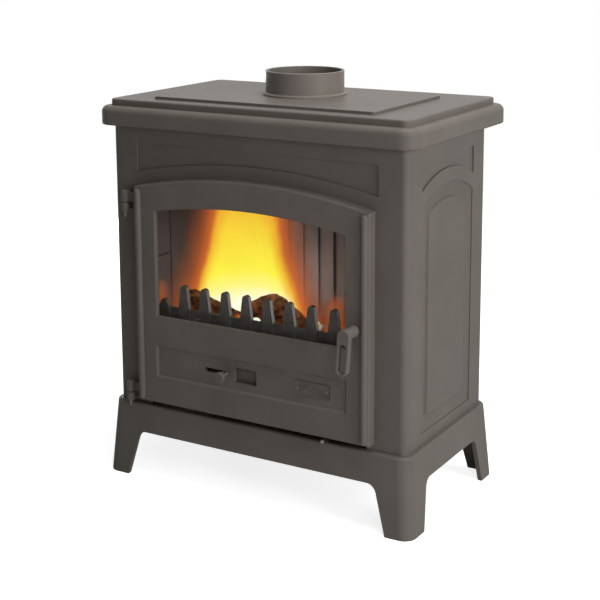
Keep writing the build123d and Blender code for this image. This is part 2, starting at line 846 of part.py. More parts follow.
# Ash pan: stands on the stand's deck under the grate, clear of the riddling link
pan_width = 2 * (riddle_link_x - riddle_link / 2 - pan_clearance)
with BuildPart() as ash_pan:
    with BuildSketch(level(body_bottom)):
        with Locations((0, pan_front_y + pan_depth / 2)):
            RectangleRounded(pan_width, pan_depth, pan_corner)
    extrude(amount=pan_height)
    with BuildSketch(level(body_bottom + pan_wall)):
        with Locations((0, pan_front_y + pan_depth / 2)):
            RectangleRounded(pan_width - 2 * pan_wall, pan_depth - 2 * pan_wall, pan_corner - pan_wall)
    extrude(amount=pan_height - pan_wall, mode=Mode.SUBTRACT)
    with BuildSketch(Plane.YZ):
        with BuildLine():
            Polyline(
                (pan_front_y + pan_wall, body_bottom + pan_height),
                (pan_front_y - pan_grip_reach, body_bottom + pan_height),
                (pan_front_y - pan_grip_reach, body_bottom + pan_height - pan_grip_height),
                (pan_front_y - pan_grip_reach + pan_wall, body_bottom + pan_height - pan_grip_height),
                (pan_front_y - pan_grip_reach + pan_wall, body_bottom + pan_height - pan_wall),
                (pan_front_y + pan_wall, body_bottom + pan_height - pan_wall),
                close=True,
            )
        make_face()
    extrude(amount=pan_grip_width / 2, both=True)
export(ash_pan, "ash_pan")

# Tie rods: clamp the top plate, the panels and the stand together
with BuildPart() as tie_rods:
    with BuildSketch(level(deck_bottom - tie_nut_height - tie_tail)):
        with Locations(*tie_points):
            Circle(tie_rod / 2)
    extrude(amount=pocket_top - tie_boss_height + tie_thread - (deck_bottom - tie_nut_height - tie_tail))
export(tie_rods, "tie_rods")

with BuildPart() as tie_nuts:
    with BuildSketch(level(deck_bottom)):
        with Locations(*tie_points):
            RegularPolygon(tie_nut / 2, 6, major_radius=False)
            Circle(tie_rod / 2 + pin_clearance, mode=Mode.SUBTRACT)
    extrude(amount=-tie_nut_height)
export(tie_nuts, "tie_nuts")

# Fuel: a burnt-down round log, and a split log that points to the door, burnt away under its left end
log_seat = grate_top + log_clearance
log_front_y = guard_front_y + guard_thickness + log_gap
with BuildPart() as log_left:
    for end_x, end_radius in left_log_ends:
        end_centre = (end_x, log_front_y + left_log_ends[0][1], log_seat + end_radius * cos(pi / log_sides))
        with BuildSketch(Plane(end_centre, x_dir=(0, 0, 1), z_dir=(1, 0, 0))) as log_end:
            RegularPolygon(end_radius, log_sides)
            fillet(log_end.vertices(), end_radius * log_round)
    loft(ruled=True)
export(log_left, "log_left")

turn_sin, turn_cos = sin(radians(split_log_turn)), cos(radians(split_log_turn))
split_log_outline = split_log_underside + split_log_back
with BuildPart() as log_right:
    for run, size in ((0, 1), (split_log_length, split_log_taper)):
        end_y = log_front_y + split_log_setback + run * turn_cos
        end_centre = (split_log_x - run * turn_sin, end_y, log_seat)
        end_plane = Plane(end_centre, x_dir=(turn_cos, turn_sin, 0), z_dir=(turn_sin, -turn_cos, 0))
        with BuildSketch(end_plane) as log_end:
            with BuildLine():
                Polyline(*[(size * across, size * rise) for across, rise in split_log_outline], close=True)
            make_face()
            fillet(log_end.vertices(), size * split_log_round)
    loft(ruled=True)
export(log_right, "log_right")

# Door casting: arched window, side beads, recessed control panel and hinge knuckles
stem_x = slot_x + (slot_length - stem_diameter) / 2 - slot_play
slide_travel = slot_length - stem_diameter - 2 * slot_play
slide_left = stem_x - slide_tail
slide_right = vent_x + vent_width / 2 + slide_lap
bay_left = slide_left - slide_travel - slide_play
bay_right = slide_right + slide_play
bay_x = (bay_left + bay_right) / 2
bay_width = bay_right - bay_left
rail_width = bay_width + 2 * rail_overrun
rail_rise = (slide_height + rail_height) / 2 - rail_lap
rail_points = [(bay_x, control_height + side * rail_rise) for side in (-1, 1)]
rail_screw_points = [
    (bay_x + end * (rail_width / 2 - rail_screw_inset), control_height + side * (rail_rise + rail_lap / 2))
    for end in (-1, 1)
    for side in (-1, 1)
]
pocket_apex = window_apex + glass_lap
clip_head = arch_centre + sqrt((pocket_apex - arch_centre) ** 2 - clip_x**2)
clip_foot = window_bottom - glass_lap
clip_points = [
    (end * clip_x, edge + side * clip_offset)
    for end in (-1, 1)
    for edge, side in ((clip_head, 1), (clip_foot, -1))
]
clip_screw_points = [
    (end * clip_x, edge + side * (clip_offset + clip_length / 4))
    for end in (-1, 1)
    for edge, side in ((clip_head, 1), (clip_foot, -1))
]
plate_rivet_points = [(plate_x + side * plate_rivet_pitch / 2, control_height) for side in (-1, 1)]
with BuildPart() as door_frame:
    with BuildSketch(facing(door_back_y)):
        door_outline(0)
    extrude(amount=door_thickness)
    fillet(door_frame.faces().sort_by(Axis.Y)[0].edges(), door_edge)
    with BuildSketch(facing(door_back_y)):
        door_outline(door_rim)
    extrude(amount=door_back_y - web_back_y, mode=Mode.SUBTRACT)
    with BuildSketch(facing(door_back_y)):
        door_outline(rope_inset)
        door_outline(rope_inset + rope_width, Mode.SUBTRACT)
    extrude(amount=rope_groove, mode=Mode.SUBTRACT)
    with BuildSketch(facing(door_back_y)):
        window_outline(0)
    extrude(amount=door_thickness, mode=Mode.SUBTRACT)
    with BuildSketch(facing(web_back_y)):
        window_outline(glass_lap)
    extrude(amount=web_back_y - glass_seat_y, mode=Mode.SUBTRACT)
    for panel_y, inset in ((door_front_y, 0), (panel_face_y, panel_slope)):
        with BuildSketch(facing(panel_y)):
            with Locations((0, door_bottom + panel_bottom + panel_height / 2)):
                RectangleRounded(panel_width - 2 * inset, panel_height - 2 * inset, panel_corner)
    loft(mode=Mode.SUBTRACT)
    with BuildSketch(facing(web_back_y)):
        with Locations((bay_x, control_height)):
            Rectangle(bay_width, slide_height + 2 * slide_play)
    extrude(amount=web_back_y - control_back_y, mode=Mode.SUBTRACT)
    with BuildSketch(facing(control_back_y)):
        with Locations((slot_x, control_height)):
            SlotOverall(slot_length, slot_height)
        with Locations((vent_x, control_height)):
            Rectangle(vent_width, vent_height)
    extrude(amount=control_wall, mode=Mode.SUBTRACT)
    with BuildSketch(facing(panel_face_y)):
        with Locations((slot_x - slot_length / 2 + mark_width, control_height + mark_lift)):
            Rectangle(mark_width, mark_height)
        with Locations((slot_x + slot_length / 2 - mark_width, control_height + mark_lift)):
            Circle(mark_height / 2)
            Circle(mark_height / 2 - mark_width, mode=Mode.SUBTRACT)
    extrude(amount=mark_rise)
    with BuildSketch(facing(web_back_y)):
        with Locations(*clip_screw_points, *rail_screw_points):
            Circle(clip_screw / 2 + pin_clearance)
    extrude(amount=clip_screw_length, mode=Mode.SUBTRACT)
    with BuildSketch(facing(panel_face_y)):
        with Locations(*plate_rivet_points):
            Circle(plate_rivet / 4 + pin_clearance)
    extrude(amount=-plate_rivet_depth, mode=Mode.SUBTRACT)
    with BuildSketch(facing(door_back_y)):
        with Locations((spindle_x, spindle_z)):
            Circle(spindle_diameter / 2 + bush_wall + pin_clearance)
    extrude(amount=door_thickness, mode=Mode.SUBTRACT)
    with BuildSketch(level(bead_foot)):
        with Locations((-bead_x, door_front_y), (bead_x, door_front_y)):
            Circle(bead_radius)
    extrude(amount=bead_length)
    bead_ends = [(side * bead_x, bead_foot + rise) for side in (-1, 1) for rise in (0, bead_length)]
    with Locations(*[(x, door_front_y, z) for x, z in bead_ends]):
        Sphere(bead_radius)
    strap_end = strap_root - door_width / 2
    for gap_z in hinge_gaps:
        with BuildSketch(facing(hinge_y)) as half_knuckle:
            with Locations((hinge_x + knuckle_diameter / 4, gap_z + (hinge_gap + door_knuckle) / 2)):
                Rectangle(knuckle_diameter / 2, door_knuckle)
            fillet(half_knuckle.vertices().group_by(Axis.Y)[-1].sort_by(Axis.X)[-1], knuckle_round)
        revolve(axis=hinge_axis)
        with BuildSketch(level(gap_z + hinge_gap / 2)):
            with Locations(((hinge_x + strap_end) / 2, hinge_y + knuckle_diameter / 4)):
                Rectangle(strap_end - hinge_x, hinge_strap)
        extrude(amount=door_knuckle - knuckle_round)
        with BuildSketch(level(gap_z + hinge_gap / 2)):
            with Locations((hinge_x, hinge_y)):
                Circle(hinge_pin / 2 + pin_clearance)
        extrude(amount=door_knuckle, mode=Mode.SUBTRACT)
export(door_frame, "door_frame")

# Hinge brackets on the front frame, and their pins
with BuildPart() as hinge_brackets:
    for gap_z in hinge_gaps:
        with BuildSketch(facing(hinge_y)) as half_knuckle:
            with Locations((hinge_x + knuckle_diameter / 4, gap_z - (hinge_gap + frame_knuckle) / 2)):
                Rectangle(knuckle_diameter / 2, frame_knuckle)
            fillet(half_knuckle.vertices().group_by(Axis.Y)[0].sort_by(Axis.X)[-1], knuckle_round)
        revolve(axis=hinge_axis)
        with BuildSketch(level(gap_z - hinge_gap / 2)):
            with Locations((hinge_x, (hinge_y + front_y) / 2)):
                Rectangle(hinge_foot_width, front_y - hinge_y)
        extrude(amount=-(frame_knuckle - knuckle_round))
        with BuildSketch(level(gap_z - hinge_gap / 2)):
            with Locations((hinge_x, hinge_y)):
                Circle(hinge_pin / 2 + pin_clearance)
        extrude(amount=-frame_knuckle, mode=Mode.SUBTRACT)
    with BuildSketch(facing(front_y)):
        with Locations(*hinge_stud_points):
            Circle(hinge_stud / 2)
    extrude(amount=-(frame_depth + hinge_nut_height + hinge_stud_tail))
export(hinge_brackets, "hinge_brackets")

with BuildPart() as hinge_nuts:
    with BuildSketch(facing(frame_back_y + hinge_nut_height)):
        with Locations(*hinge_stud_points):
            RegularPolygon(hinge_nut / 2, 6, major_radius=False)
            Circle(hinge_stud / 2 + pin_clearance, mode=Mode.SUBTRACT)
    extrude(amount=hinge_nut_height)
export(hinge_nuts, "hinge_nuts")

with BuildPart() as hinge_pins:
    for gap_z in hinge_gaps:
        with BuildSketch(level(gap_z - hinge_gap / 2 - frame_knuckle - pin_tip)):
            with Locations((hinge_x, hinge_y)):
                Circle(hinge_pin / 2)
        extrude(amount=pin_tip + frame_knuckle + door_knuckle)
        with BuildSketch(level(gap_z - hinge_gap / 2)):
            with Locations((hinge_x, hinge_y)):
                Circle(pin_collar / 2)
        extrude(amount=hinge_gap - hinge_play)
export(hinge_pins, "hinge_pins")

# Rope seal in the door's groove
with BuildPart() as door_rope:
    with BuildSketch(facing(front_y - rope_gap)):
        door_outline(rope_inset + rope_gap)
        door_outline(rope_inset + rope_width - rope_gap, Mode.SUBTRACT)
    extrude(amount=door_gap - rope_gap + rope_groove)
    fillet(door_rope.faces().sort_by(Axis.Y)[-1].edges(), rope_round)
export(door_rope, "door_rope")

# Window glass, its gasket, and the clips that hold it from behind
glass_growth = glass_lap - glass_clearance
with BuildPart() as window_glass:
    with BuildSketch(facing(web_back_y)):
        window_outline(glass_growth)
    extrude(amount=glass_thickness)
export(window_glass, "window_glass")

with BuildPart() as glass_gasket:
    with BuildSketch(facing(glass_front_y)):
        window_outline(glass_growth)
        window_outline(glass_growth - gasket_width, Mode.SUBTRACT)
    extrude(amount=gasket_thickness)
export(glass_gasket, "glass_gasket")

with BuildPart() as glass_clips:
    with BuildSketch(facing(web_back_y + clip_thickness)):
        with Locations(*clip_points):
            RectangleRounded(clip_width, clip_length, clip_corner)
        with Locations(*clip_screw_points):
            Circle(clip_screw / 2 + pin_clearance, mode=Mode.SUBTRACT)
    extrude(amount=clip_thickness)
export(glass_clips, "glass_clips")

with BuildPart() as door_screws:
    screw_seat_y = web_back_y + clip_thickness
    with BuildSketch(facing(screw_seat_y)):
        with Locations(*clip_screw_points, *rail_screw_points):
            Circle(clip_screw_head / 2)
    extrude(amount=-clip_screw_head_height)
    with BuildSketch(facing(screw_seat_y)):
        with Locations(*clip_screw_points, *rail_screw_points):
            Circle(clip_screw / 2)
    extrude(amount=clip_screw_length)
export(door_screws, "door_screws")

# Air slide: a plate behind the control panel, its two rails, and the knob in front
with BuildPart() as slide_rails:
    with BuildSketch(facing(web_back_y + clip_thickness)):
        with Locations(*rail_points):
            Rectangle(rail_width, rail_height)
        with Locations(*rail_screw_points):
            Circle(clip_screw / 2 + pin_clearance, mode=Mode.SUBTRACT)
    extrude(amount=clip_thickness)
export(slide_rails, "slide_rails")

slide_front_y = control_back_y + slide_play
with BuildPart() as air_slide:
    with BuildSketch(facing(slide_front_y + slide_thickness)):
        with Locations(((slide_left + slide_right) / 2, control_height)):
            Rectangle(slide_right - slide_left, slide_height)
        with Locations((stem_x, control_height)):
            Circle(stem_diameter / 2 + pin_clearance, mode=Mode.SUBTRACT)
    extrude(amount=slide_thickness)
export(air_slide, "air_slide")

with BuildPart() as air_knob:
    knob_front_y = door_front_y - knob_reach
    with BuildSketch(facing(slide_front_y + slide_thickness)):
        with Locations((stem_x, control_height)):
            Circle(stem_diameter / 2)
    extrude(amount=slide_front_y + slide_thickness - knob_front_y)
    with BuildSketch(facing(knob_front_y + knob_thickness)):
        with Locations((stem_x, control_height)):
            Circle(knob_diameter / 2)
    extrude(amount=knob_thickness)
    fillet(air_knob.faces().sort_by(Axis.Y)[0].edges(), knob_edge)
export(air_knob, "air_knob")

# Blank plate with two rivets on the control panel
with BuildPart() as blank_plate:
    with BuildSketch(facing(panel_face_y)):
        with Locations((plate_x, control_height)):
            RectangleRounded(plate_width, plate_height, plate_corner)
        with Locations(*plate_rivet_points):
            Circle(plate_rivet / 4 + pin_clearance, mode=Mode.SUBTRACT)
    extrude(amount=plate_thickness)
export(blank_plate, "blank_plate")

with BuildPart() as plate_rivets:
    with BuildSketch(facing(panel_face_y - plate_thickness)):
        with Locations(*plate_rivet_points):
            Circle(plate_rivet / 2)
    extrude(amount=plate_rivet_rise)
    fillet(plate_rivets.faces().group_by(Axis.Y)[0].edges(), plate_rivet_round)
    with BuildSketch(facing(panel_face_y + plate_rivet_depth)):
        with Locations(*plate_rivet_points):
            Circle(plate_rivet / 4)
    extrude(amount=plate_rivet_depth + plate_thickness)
export(plate_rivets, "plate_rivets")

# Door handle: a looped lever on a round hub, leaning a little
hub_back_y = door_front_y - bush_flange - latch_clearance
lever_front_y = door_front_y - handle_reach
lever_back_y = lever_front_y + lever_thickness
lever_run = lever_length - lever_width / 2
loop_top = hub_diameter / 2 + lever_arm
loop_width = lever_width - 2 * lever_arm
loop_length = lever_length - lever_arm - loop_top
with BuildPart() as door_handle:
    with BuildSketch(facing(lever_back_y)):
        with Locations(Location((spindle_x, spindle_z, 0), (0, 0, -lever_lean))):
            with Locations((0, -lever_run / 2)):
                SlotCenterToCenter(lever_run, lever_width, rotation=90)
            with Locations((0, -loop_top - loop_length / 2)):
                SlotOverall(loop_length, loop_width, rotation=90, mode=Mode.SUBTRACT)
    extrude(amount=lever_thickness)
    fillet(door_handle.faces().sort_by(Axis.Y)[0].edges(), lever_edge)
    with BuildSketch(facing(hub_back_y)):
        with Locations((spindle_x, spindle_z)):
            Circle(hub_diameter / 2)
    extrude(amount=hub_back_y - lever_back_y)
    with BuildSketch(facing(hub_back_y)):
        with Locations((spindle_x, spindle_z)):
            Circle(spindle_diameter / 2 + pin_clearance)
    extrude(amount=hub_back_y - lever_back_y, mode=Mode.SUBTRACT)
export(door_handle, "door_handle")

with BuildPart() as handle_bush:
    with BuildSketch(facing(web_back_y)):
        with Locations((spindle_x, spindle_z)):
            Circle(spindle_diameter / 2 + bush_wall)
    extrude(amount=web_back_y - door_front_y)
    with BuildSketch(facing(door_front_y)):
        with Locations((spindle_x, spindle_z)):
            Circle(spindle_diameter / 2 + bush_flange_rim)
    extrude(amount=bush_flange)
    with BuildSketch(facing(web_back_y)):
        with Locations((spindle_x, spindle_z)):
            Circle(spindle_diameter / 2 + pin_clearance)
    extrude(amount=web_back_y - door_front_y + bush_flange, mode=Mode.SUBTRACT)
export(handle_bush, "handle_bush")

# Latch: the spindle turns a tongue that goes behind a keeper on the front frame
keeper_back_y = frame_back_y + keeper_thickness
tongue_front_y = keeper_back_y + latch_clearance
tongue_back_y = tongue_front_y + tongue_thickness
with BuildPart() as handle_spindle:
    with BuildSketch(facing(tongue_back_y + spindle_nut_height)):
        with Locations((spindle_x, spindle_z)):
            Circle(spindle_diameter / 2)
    extrude(amount=tongue_back_y + spindle_nut_height - lever_back_y)
export(handle_spindle, "handle_spindle")

with BuildPart() as latch_tongue:
    with BuildSketch(facing(tongue_back_y)):
        with Locations((spindle_x, spindle_z)):
            Circle(spindle_nut / 2)
        with Locations((spindle_x, spindle_z + tongue_reach / 2)):
            Rectangle(tongue_width, tongue_reach)
        with Locations((spindle_x, spindle_z)):
            Circle(spindle_diameter / 2 + pin_clearance, mode=Mode.SUBTRACT)
    extrude(amount=tongue_thickness)
export(latch_tongue, "latch_tongue")

with BuildPart() as spindle_nut_piece:
    with BuildSketch(facing(tongue_back_y + spindle_nut_height)):
        with Locations((spindle_x, spindle_z)):
            RegularPolygon(spindle_nut / 2, 6, major_radius=False)
            Circle(spindle_diameter / 2 + pin_clearance, mode=Mode.SUBTRACT)
    extrude(amount=spindle_nut_height)
export(spindle_nut_piece, "spindle_nut")

with BuildPart() as latch_keeper:
    with BuildSketch(facing(keeper_back_y)):
        with Locations((keeper_x, spindle_z)):
            Rectangle(keeper_width, keeper_height)
        with Locations(*keeper_screw_points):
            Circle(keeper_screw / 2 + pin_clearance, mode=Mode.SUBTRACT)
    extrude(amount=keeper_thickness)
    with BuildSketch(facing(keeper_back_y)):
        with Locations(*keeper_screw_points):
            Circle(keeper_screw_head / 2 + pin_clearance)
    extrude(amount=keeper_screw_head_height, mode=Mode.SUBTRACT)
export(latch_keeper, "latch_keeper")

with BuildPart() as keeper_screws:
    with BuildSketch(facing(keeper_back_y)):
        with Locations(*keeper_screw_points):
            Circle(keeper_screw_head / 2)
    extrude(amount=keeper_screw_head_height)
    with BuildSketch(facing(keeper_back_y)):
        with Locations(*keeper_screw_points):
            Circle(keeper_screw / 2)
    extrude(amount=keeper_thickness + keeper_screw_depth)
export(keeper_screws, "keeper_screws")
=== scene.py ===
"""The looks of a cast-iron wood burning stove, built around its solid model. Metres, the door faces -Y."""

import json
import math

import bmesh
import bpy
from mathutils import Matrix, Vector, noise


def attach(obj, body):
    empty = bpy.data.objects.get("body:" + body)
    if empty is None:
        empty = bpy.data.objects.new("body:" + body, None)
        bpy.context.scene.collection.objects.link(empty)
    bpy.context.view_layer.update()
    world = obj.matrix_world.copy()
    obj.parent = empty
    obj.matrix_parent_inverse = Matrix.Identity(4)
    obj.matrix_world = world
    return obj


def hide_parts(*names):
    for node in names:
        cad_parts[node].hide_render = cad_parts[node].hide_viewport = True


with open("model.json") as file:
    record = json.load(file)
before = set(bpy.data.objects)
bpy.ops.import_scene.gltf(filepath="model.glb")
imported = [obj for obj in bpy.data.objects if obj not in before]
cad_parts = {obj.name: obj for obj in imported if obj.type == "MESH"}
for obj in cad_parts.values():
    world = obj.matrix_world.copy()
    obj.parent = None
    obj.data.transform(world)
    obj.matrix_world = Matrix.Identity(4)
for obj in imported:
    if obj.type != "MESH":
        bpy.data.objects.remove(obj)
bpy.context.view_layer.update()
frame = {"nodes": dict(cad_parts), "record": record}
nodes = frame["nodes"]
scene = bpy.context.scene

MM = 0.001

# Camera, as fitted to the photograph's frame of 600 by 600 pixels
IMAGE_SIZE = 600
CAMERA_PLACE = Vector((1.1746, -1.9710, 0.9613))
CAMERA_AIM = Vector((-0.5033, 0.8446, -0.1827))
CAMERA_ROLL = math.radians(-0.30)
FOCAL_PIXELS = 1344.4
OPTICAL_CENTRE = (298.4, 178.8)
SENSOR_MM = 36.0

# Light, and the floor's half-width and the distances between which it fades into the white room
ROOM_LIGHT = 0.02
LAMPS = {
    "side_softbox": {"place": (2.40, -0.62, 0.95), "aim": (0.0, -0.05, 0.40), "size": 1.0, "power": 36.0},
    "front_softbox": {"place": (0.92, -0.95, 0.85), "aim": (0.0, -0.10, 0.36), "size": 0.4, "power": 3.4},
    "top_softbox": {"place": (0.45, -0.06, 2.60), "aim": (0.0, 0.0, 0.65), "size": 1.6, "power": 52.0},
    "back_softbox": {"place": (-1.7, 1.5, 0.33), "aim": (0.0, 0.0, 0.36), "size": 0.6, "power": 10.0},
}
FLOOR_REACH = 2.6
FLOOR_FADE = (0.5, 1.6)
FLOOR_LIFT = 0.82

# Heights in the firebox, as in the solid model
FIREBED = 253.0 * MM
GUARD_RAIL = 313.5 * MM
LOG_SEAT = 252.6 * MM

# Painted shade along X: from full to none on the firebrick, and the length over which the painted light on
# the guard's flanks dims towards the left
BRICK_SHADE_FADE = (-0.25, -0.08)
GUARD_LIGHT_FADE = 0.4

# Flames: foot and height, the heart's half-widths at foot and top, and the glow's width at left and right
FLAME_FOOT = Vector((-0.116, 0.004, 0.256))
FLAME = {"foot": FLAME_FOOT, "height": 0.288, "widths": (0.098, 0.017), "glow": (0.070, 0.078)}
HEART = {"foot": FLAME_FOOT, "height": 0.270, "widths": (0.072, 0.016), "glow": (0.040, 0.040)}
LEFT_LICK = {
    "foot": (-0.221, -0.105, 0.256),
    "height": 0.100,
    "widths": (0.012, 0.003),
    "glow": (0.012, 0.012),
}
RIGHT_LICK = {
    "foot": (0.133, -0.105, 0.256),
    "height": 0.120,
    "widths": (0.026, 0.008),
    "glow": (0.026, 0.026),
}
FLAME_TURN = 31.0
HEART_TURNS = (-9.0, 71.0)
FLAME_CELLS = 48
FLAME_STRENGTH = 1.15

# Flame finish, on a UV map that is 0.5 at the heart's edge and rises by 1 with each glow unit outwards
GLOW_UNIT = 0.2
HEART_EDGE = (0.40, 0.53)
CROWN_START = 0.80
SWAY = 0.07
COOLING = 0.3

# Ember bed, with its coals in millimetres
EMBER_MIDDLE = (-0.030, -0.020)
EMBER_SIZE = (0.420, 0.200)
EMBER_CELLS = (110, 64)
COAL_SPACING = 22.0
COAL_HEIGHT = 16.0
COAL_DIP = 12.0

# Heat of the embers, weakest at the rim of a ball with its middle at x -95, y -32, z 250 mm
HEAT_SCALE = (7.4, 6.2, 4.0)
HEAT_SHIFT = (0.70, 0.20, -1.0)
HEAT_POWER = (0.05, 10.0)

# Fuel, as in the solid model. The split log's outline is in millimetres, across and up
LOG_FACETS = 36
LOG_CUTS = 24
LOG_END_RINGS = (0.35, 0.5, 0.5)
LEFT_LOG = {"start": (-0.176, -0.084), "end": (-0.074, -0.084), "radii": (0.041, 0.027)}
SPLIT_UNDERSIDE = ((-20, 0), (-24, 52), (-44, 54))
SPLIT_BACK = ((-46, 82), (-22, 95), (-4, 101), (8, 100), (22, 91), (44, 71), (64, 50), (86, 0))
SPLIT_OUTLINE = SPLIT_UNDERSIDE + SPLIT_BACK
SPLIT_PLACE = Vector((0.002, -0.090, LOG_SEAT))
SPLIT_TURN = math.radians(30.8)
SPLIT_LENGTH = 0.085
SPLIT_TAPER = 0.7
SPLIT_BEVEL = 4.0 * MM
SPLIT_FACET = 6.0 * MM
SPLIT_CUTS = 4

# Colour sockets of a Mix node
MIX_A = 6
MIX_B = 7
MIX_RESULT = 2


def srgb(code):
    """An sRGB hex colour as linear values."""
    channels = [int(code[start : start + 2], 16) / 255 for start in (1, 3, 5)]
    linear = [c / 12.92 if c <= 0.04045 else ((c + 0.055) / 1.055) ** 2.4 for c in channels]
    return (*linear, 1.0)


def per_metre(millimetres):
    """A texture scale whose features are about this far apart."""
    return 1.0 / (millimetres * MM)


def set_inputs(tree, node, values):
    """Sets or links a node's sockets."""
    for key, value in values.items():
        if isinstance(value, bpy.types.NodeSocket):
            tree.links.new(value, node.inputs[key])
        else:
            node.inputs[key].default_value = value


def add(tree, kind, inputs=None, stops=None, **settings):
    """Adds a node, with its settings, its colour stops, and its inputs as values or links."""
    node = tree.nodes.new(kind)
    for name, value in settings.items():
        setattr(node, name, value)
    if stops:
        ramp = node.color_ramp.elements
        while len(ramp) < len(stops):
            ramp.new(1.0)
        for element, (position, colour) in zip(ramp, stops):
            element.position = position
            element.color = srgb(colour)
    set_inputs(tree, node, inputs or {})
    return node


def new_material(name):
    """A node material with its tree, its Principled shader and Object coordinates."""
    material = bpy.data.materials.new(name)
    material.use_nodes = True
    tree = material.node_tree
    place = add(tree, "ShaderNodeTexCoord").outputs["Object"]
    return material, tree, tree.nodes["Principled BSDF"], place


# Materials


def sand_cast_paint(name, base, shade, grit_mm, roughness, sheen):
    """Matt heat-proof paint on sand-cast iron: an even warm grey, faintly clouded, with a fine sandy grit."""
    material, tree, shader, place = new_material(name)
    clouds = add(tree, "ShaderNodeTexNoise", {"Vector": place, "Scale": per_metre(90), "Detail": 3.0})
    colour = add(
        tree,
        "ShaderNodeValToRGB",
        {"Fac": clouds.outputs["Fac"]},
        stops=[(0.30, shade), (0.70, base)],
    )
    # The casting sand's grit is about 0.4 mm, and is drawn coarser here so that it shows
    grit = add(tree, "ShaderNodeTexNoise", {"Vector": place, "Scale": per_metre(grit_mm), "Detail": 4.0})
    gloss = add(
        tree,
        "ShaderNodeMapRange",
        {"Value": grit.outputs["Fac"], "To Min": roughness - 0.06, "To Max": roughness + 0.06},
    )
    bump = add(
        tree,
        "ShaderNodeBump",
        {"Height": grit.outputs["Fac"], "Strength": 0.25, "Distance": 0.25 * MM},
    )
    set_inputs(
        tree,
        shader,
        {
            "Base Color": colour.outputs["Color"],
            "Roughness": gloss.outputs["Result"],
            "Specular IOR Level": sheen,
            "Normal": bump.outputs["Normal"],
        },
    )
    return material


def iron_with_painted_lit_flanks():
    """Cast-iron prongs under soot, with painted light: their sideways flanks are painted bright, dimmer
    towards the left.
    """
    material, tree, shader, place = new_material("sooted_iron_with_painted_lit_flanks")
    soot = add(tree, "ShaderNodeTexNoise", {"Vector": place, "Scale": per_metre(12), "Detail": 4.0})
    casting = add(
        tree,
        "ShaderNodeValToRGB",
        {"Fac": soot.outputs["Fac"]},
        stops=[(0.35, "#403B38"), (0.65, "#524D49")],
    )
    # Painted light: flanks facing sideways, on the prongs above the rail, take the bright colour
    facing = add(
        tree,
        "ShaderNodeSeparateXYZ",
        {"Vector": add(tree, "ShaderNodeNewGeometry").outputs["Normal"]},
    )
    sideways = add(tree, "ShaderNodeMath", {0: facing.outputs["X"]}, operation="ABSOLUTE")
    flank = add(
        tree,
        "ShaderNodeMapRange",
        {"Value": sideways.outputs["Value"], "From Min": 0.70, "From Max": 0.90},
    )
    height = add(tree, "ShaderNodeSeparateXYZ", {"Vector": place})
    prong = add(
        tree,
        "ShaderNodeMapRange",
        {"Value": height.outputs["Z"], "From Min": GUARD_RAIL, "From Max": GUARD_RAIL + 4.0 * MM},
    )
    painted_lit_flank = add(
        tree,
        "ShaderNodeMath",
        {0: flank.outputs["Result"], 1: prong.outputs["Result"]},
        operation="MULTIPLY",
    )
    # Painted light dimming towards the left: the flank colour runs from dim grey at the left to near white at
    # the right
    along = add(
        tree,
        "ShaderNodeMapping",
        {"Vector": place, "Location": (0.5, 0.0, 0.0), "Scale": (1.0 / GUARD_LIGHT_FADE, 0.0, 0.0)},
    )
    rightwards = add(tree, "ShaderNodeTexGradient", {"Vector": along.outputs["Vector"]})
    flank_light = add(
        tree,
        "ShaderNodeValToRGB",
        {"Fac": rightwards.outputs["Fac"]},
        stops=[(0.0, "#5E5A56"), (0.85, "#C9C5C0")],
    )
    colour = add(
        tree,
        "ShaderNodeMix",
        {"Factor": painted_lit_flank.outputs["Value"], MIX_A: casting.outputs["Color"], MIX_B: flank_light.outputs["Color"]},
        data_type="RGBA",
    )
    set_inputs(tree, shader, {"Base Color": colour.outputs[MIX_RESULT], "Roughness": 0.55})
    return material


def dull_metal(name, base, stain, roughness):
    """Plain steel, handled and heated: metallic, with darker stains and a fine scratchy grain."""
    material, tree, shader, place = new_material(name)
    stains = add(tree, "ShaderNodeTexNoise", {"Vector": place, "Scale": per_metre(14), "Detail": 5.0})
    colour = add(
        tree,
        "ShaderNodeValToRGB",
        {"Fac": stains.outputs["Fac"]},
        stops=[(0.35, stain), (0.65, base)],
    )
    grain = add(tree, "ShaderNodeTexNoise", {"Vector": place, "Scale": per_metre(0.8), "Detail": 2.0})
    gloss = add(
        tree,
        "ShaderNodeMapRange",
        {"Value": grain.outputs["Fac"], "To Min": roughness - 0.10, "To Max": roughness + 0.10},
    )
    set_inputs(
        tree,
        shader,
        {
            "Base Color": colour.outputs["Color"],
            "Roughness": gloss.outputs["Result"],
            "Metallic": 1.0,
        },
    )
    return material


def firebrick():
    """Pressed firebrick: grainy grey, pale where fire keeps it clean, with painted shade that darkens it
    towards the left.
    """
    material, tree, shader, place = new_material("sooted_firebrick_with_painted_shade")
    soot = add(tree, "ShaderNodeTexNoise", {"Vector": place, "Scale": per_metre(70), "Detail": 5.0})
    clean = add(
        tree,
        "ShaderNodeValToRGB",
        {"Fac": soot.outputs["Fac"]},
        stops=[(0.30, "#80889A"), (0.70, "#9CA4B6")],
    )
    along = add(tree, "ShaderNodeSeparateXYZ", {"Vector": place})
    # Painted shade: the brick is darker towards the left of the firebox
    painted_shade = add(
        tree,
        "ShaderNodeMapRange",
        {"Value": along.outputs["X"], "From Min": BRICK_SHADE_FADE[1], "From Max": BRICK_SHADE_FADE[0]},
        interpolation_type="SMOOTHSTEP",
    )
    colour = add(
        tree,
        "ShaderNodeMix",
        {"Factor": painted_shade.outputs["Result"], MIX_A: clean.outputs["Color"], MIX_B: srgb("#55545B")},
        data_type="RGBA",
    )
    grain = add(tree, "ShaderNodeTexNoise", {"Vector": place, "Scale": per_metre(2.5), "Detail": 4.0})
    bump = add(
        tree,
        "ShaderNodeBump",
        {"Height": grain.outputs["Fac"], "Strength": 0.4, "Distance": 0.6 * MM},
    )
    set_inputs(
        tree,
        shader,
        {
            "Base Color": colour.outputs[MIX_RESULT],
            "Roughness": 0.9,
            "Normal": bump.outputs["Normal"],
        },
    )
    return material


